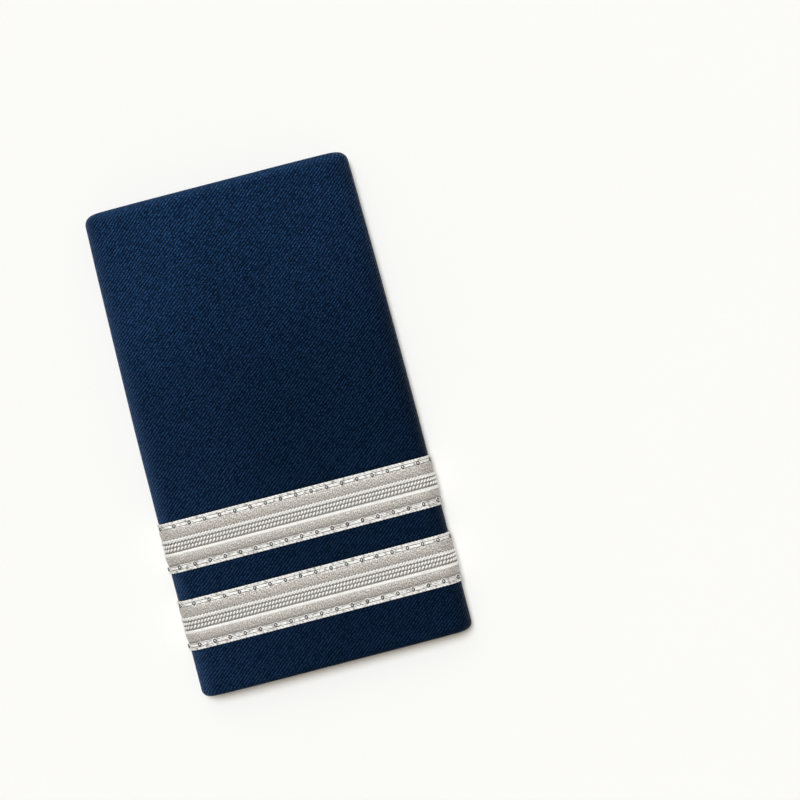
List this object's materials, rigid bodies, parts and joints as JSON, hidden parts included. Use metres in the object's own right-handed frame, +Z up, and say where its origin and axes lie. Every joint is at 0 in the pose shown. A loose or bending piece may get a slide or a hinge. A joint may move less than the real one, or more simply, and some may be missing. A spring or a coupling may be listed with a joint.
{
  "type": "rank slide",
  "caption": "Flat navy cloth sleeve, open at both ends, that slips over a shoulder strap, with silver lace braids woven round its lower part.",
  "frame": {"origin": "on the plane that the slide lies on, under the middle of its outline", "axes": "+X across the slide, +Y along it towards the plain end, +Z up out of the front face"},
  "size_m": [0.0608, 0.1062, 0.0075],
  "materials": {
    "navy_twill": "matte wool twill with fine diagonal wales",
    "silver_lace": "metallic silver lace braid, bright on its cords and borders"
  },
  "bodies": {
    "root": {"sleeve": "navy_twill", "upper_braid": "silver_lace", "lower_braid": "silver_lace"}
  },
  "joints": []
}
